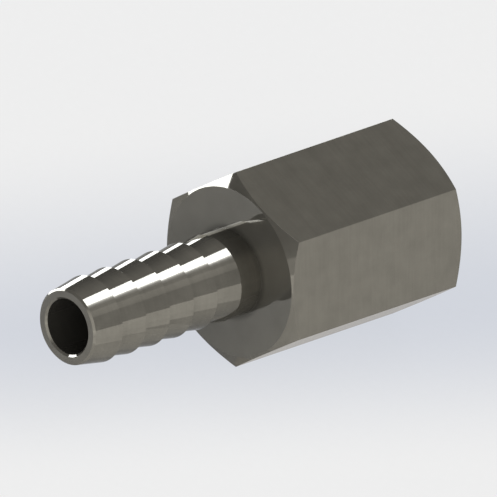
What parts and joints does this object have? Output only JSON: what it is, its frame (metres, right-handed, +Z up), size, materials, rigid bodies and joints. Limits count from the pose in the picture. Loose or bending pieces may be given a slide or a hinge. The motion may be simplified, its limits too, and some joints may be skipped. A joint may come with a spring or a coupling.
{
  "type": "hose barb fitting",
  "caption": "Straight steel fitting with a chamfered hexagon, a tapped female pipe port in one end and a tapering sawtooth hose barb tail on the other, bored through.",
  "frame": {"origin": "centre of the bounding box's underside, on the surface that the fitting lies on", "axes": "+Z up from the hexagon flat that it lies on; the fitting's axis is parallel to X, with the female port opening towards +X and the hose tail pointing towards -X"},
  "size_m": [0.0574, 0.0254, 0.022],
  "materials": {
    "turned_steel": "smooth turned and polished stainless steel, fine satin"
  },
  "bodies": {
    "root": {"fitting_body": "turned_steel"}
  },
  "joints": []
}
